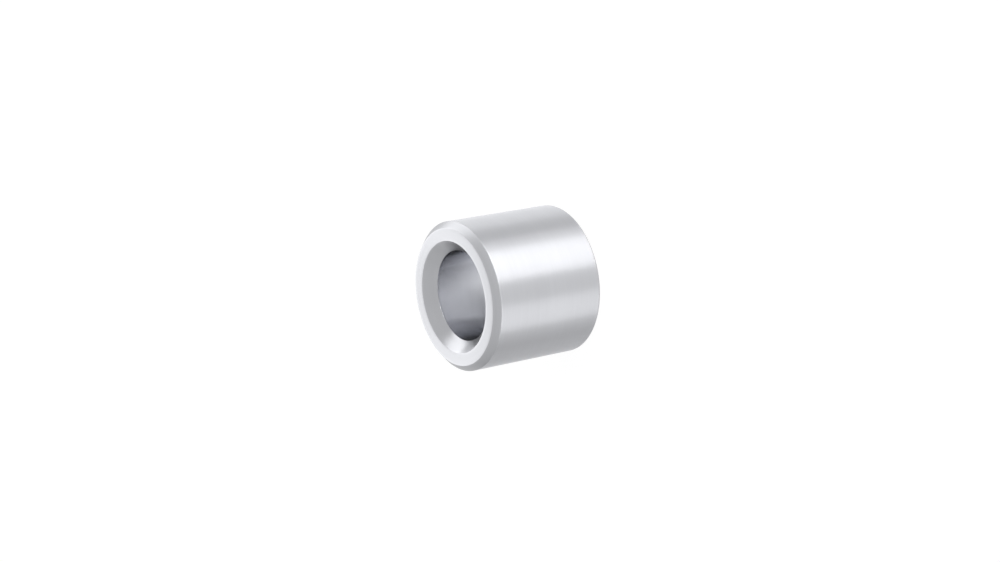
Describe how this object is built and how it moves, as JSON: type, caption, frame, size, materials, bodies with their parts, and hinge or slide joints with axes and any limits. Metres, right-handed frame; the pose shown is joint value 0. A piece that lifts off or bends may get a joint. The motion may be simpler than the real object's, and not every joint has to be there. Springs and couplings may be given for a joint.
{
  "type": "sensor bushing",
  "caption": "Plain turned weld-in sensor bushing: a thick sleeve with a smooth through bore, a countersunk mouth and a chamfered front edge.",
  "frame": {"origin": "centre of the plain rear face, on which the bushing stands", "axes": "+Z along the turning axis, from the rear face towards the countersunk front face; X and Y are equal, because the part is round"},
  "size_m": [0.024, 0.024, 0.02],
  "materials": {
    "turned_steel": "finely turned, clean and bright, satin with soft highlights"
  },
  "bodies": {
    "root": {"bushing": "turned_steel"}
  },
  "joints": []
}
